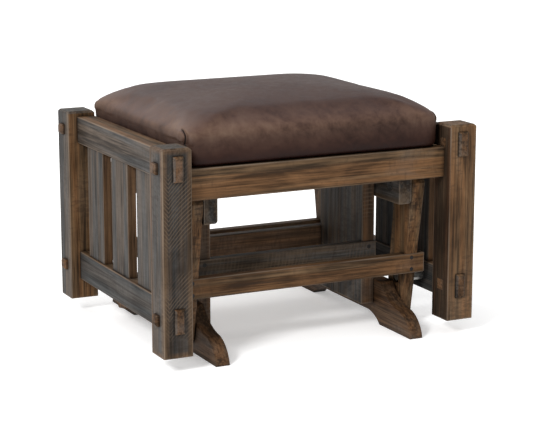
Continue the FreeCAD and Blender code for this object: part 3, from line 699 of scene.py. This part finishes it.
def puff(piece):
    """Fills the pad by a cloth simulation, with its underside held flat and the swelling capped."""
    remesh = piece.modifiers.new("remesh", "REMESH")
    remesh.mode = "VOXEL"
    remesh.voxel_size = CUSHION_VOXEL
    piece.data = evaluated_copy(piece)
    piece.modifiers.clear()
    start = [vertex.co.copy() for vertex in piece.data.vertices]
    floor = min(point.z for point in start)
    held = piece.vertex_groups.new(name="held")
    held.add([index for index, point in enumerate(start) if point.z < floor + CUSHION_HELD], 1.0, "REPLACE")
    cloth = piece.modifiers.new("cloth", "CLOTH")
    cloth.settings.vertex_group_mass = "held"
    cloth.settings.use_pressure = True
    cloth.settings.uniform_pressure_force = CUSHION_PRESSURE
    cloth.settings.effector_weights.gravity = 0.0
    cloth.settings.tension_stiffness = CUSHION_STIFFNESS
    cloth.settings.compression_stiffness = CUSHION_STIFFNESS
    cloth.settings.bending_stiffness = CUSHION_BENDING
    scene = bpy.context.scene
    scene.frame_start = 1
    scene.frame_end = CUSHION_FRAMES
    for frame_number in range(1, CUSHION_FRAMES + 1):
        scene.frame_set(frame_number)
    filled = evaluated_copy(piece)
    piece.modifiers.clear()
    scene.frame_set(1)
    for vertex, before, after in zip(piece.data.vertices, start, filled.vertices):
        swell = after.co - before
        if swell.length > CUSHION_CAP:
            swell *= CUSHION_CAP / swell.length
        vertex.co = before + swell
    bpy.data.meshes.remove(filled)


def sew_pleats(piece):
    """Smooths the pad, subdivides it, presses in the pleats and keeps it within its place in the frame."""
    low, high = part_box("cushion")
    relax = piece.modifiers.new("relax", "SMOOTH")
    relax.iterations = CUSHION_RELAX
    smooth = piece.modifiers.new("smooth", "SUBSURF")
    smooth.levels = 1
    piece.data = evaluated_copy(piece)
    piece.modifiers.clear()
    mesh = bmesh.new()
    mesh.from_mesh(piece.data)

    def by_pleat(vertex):
        place = vertex.co
        beside = abs(place.x) > FINE_MESH_X and abs(place.y) > FINE_MESH_Y
        return beside and PLEAT_LOW - FINE_MESH_BELOW < place.z < PLEAT_HIGH + FINE_MESH_ABOVE

    near = [edge for edge in mesh.edges if all(by_pleat(vertex) for vertex in edge.verts)]
    bmesh.ops.subdivide_edges(mesh, edges=near, cuts=2, use_grid_fill=True)
    mesh.normal_update()
    for vertex in mesh.verts:
        vertex.co += vertex.normal * pleat_depth(vertex.co)
    for vertex in mesh.verts:
        roll = CUSHION_ROLL if vertex.co.z > CUSHION_FREE_HEIGHT else 0.0
        vertex.co.x = max(low.x - roll, min(high.x + roll, vertex.co.x))
        vertex.co.y = max(low.y - CUSHION_FRONT_SPARE, min(high.y + CUSHION_FRONT_SPARE, vertex.co.y))
        vertex.co.z = max(low.z + CUSHION_CLEAR / 2.0, vertex.co.z)
    mesh.to_mesh(piece.data)
    mesh.free()


def pleat_depth(place):
    """How far a point of the cushion moves along its normal for a pleat: a slit beside a low lip."""
    rise = (place.z - PLEAT_LOW) / (PLEAT_HIGH - PLEAT_LOW)
    if not 0.0 < rise < 1.0 or abs(place.y) < PLEAT_INNER_Y:
        return 0.0
    fade = min(1.0, (1.0 - rise) * PLEAT_FADE)
    away = abs(place.x) - (PLEAT_FOOT - rise * PLEAT_LEAN)
    slit = PLEAT_DEPTH * math.exp(-((away / PLEAT_WIDTH) ** 2))
    lip = LIP_HEIGHT * math.exp(-(((away - LIP_PLACE) / LIP_WIDTH) ** 2))
    fold = FOLD_HEIGHT * math.exp(-(((away + FOLD_PLACE) / FOLD_WIDTH) ** 2))
    return (lip + fold - slit) * fade


def finish_cushion(piece):
    for polygon in piece.data.polygons:
        polygon.use_smooth = True
    piece.data.materials.clear()
    piece.data.materials.append(leather())
    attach(piece, "seat")
    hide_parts("cushion")


# Stage
def make_floor():
    mesh = bmesh.new()
    bmesh.ops.create_grid(mesh, x_segments=2, y_segments=2, size=FLOOR_REACH)
    floor = as_object("floor", mesh)
    s = Shader("floor")
    s.surface.inputs["Base Color"].default_value = (*FLOOR_COLOUR, 1.0)
    s.surface.inputs["Roughness"].default_value = FLOOR_ROUGHNESS
    s.surface.inputs["Emission Color"].default_value = (*WHITE, 1.0)
    s.surface.inputs["Emission Strength"].default_value = FLOOR_GLOW
    floor.data.materials.append(s.material)


def area_light(name, place, size, power, target=LIGHT_TARGET):
    light = bpy.data.lights.new(name, "AREA")
    light.size = size
    light.energy = power
    holder = bpy.data.objects.new(name, light)
    holder.location = place
    holder.rotation_euler = (Vector(target) - Vector(place)).to_track_quat("-Z", "Y").to_euler()
    bpy.context.scene.collection.objects.link(holder)


def make_light():
    area_light("top", TOP_PLACE, TOP_SIZE, TOP_POWER)
    area_light("key", KEY_PLACE, KEY_SIZE, KEY_POWER)
    world = bpy.data.worlds.new("studio")
    world.use_nodes = True
    background = world.node_tree.nodes["Background"]
    background.inputs["Color"].default_value = (*WHITE, 1.0)
    background.inputs["Strength"].default_value = SKY_STRENGTH
    bpy.context.scene.world = world
    bpy.context.scene.view_settings.view_transform = "Standard"


def make_camera():
    data = bpy.data.cameras.new("camera")
    data.lens = CAMERA_LENS
    data.sensor_width = CAMERA_SENSOR
    data.sensor_fit = "HORIZONTAL"
    data.clip_end = CAMERA_REACH
    camera = bpy.data.objects.new("camera", data)
    camera.location = CAMERA_PLACE
    camera.rotation_euler = (math.radians(90.0 - CAMERA_PITCH), 0.0, -math.radians(CAMERA_YAW))
    bpy.context.scene.collection.objects.link(camera)
    bpy.context.scene.camera = camera


cushion = make_cushion()
make_camera()
make_light()
make_floor()
dress_seat_frame()
dress_base()
dress_arms()
dress_hardware()
finish_cushion(cushion)
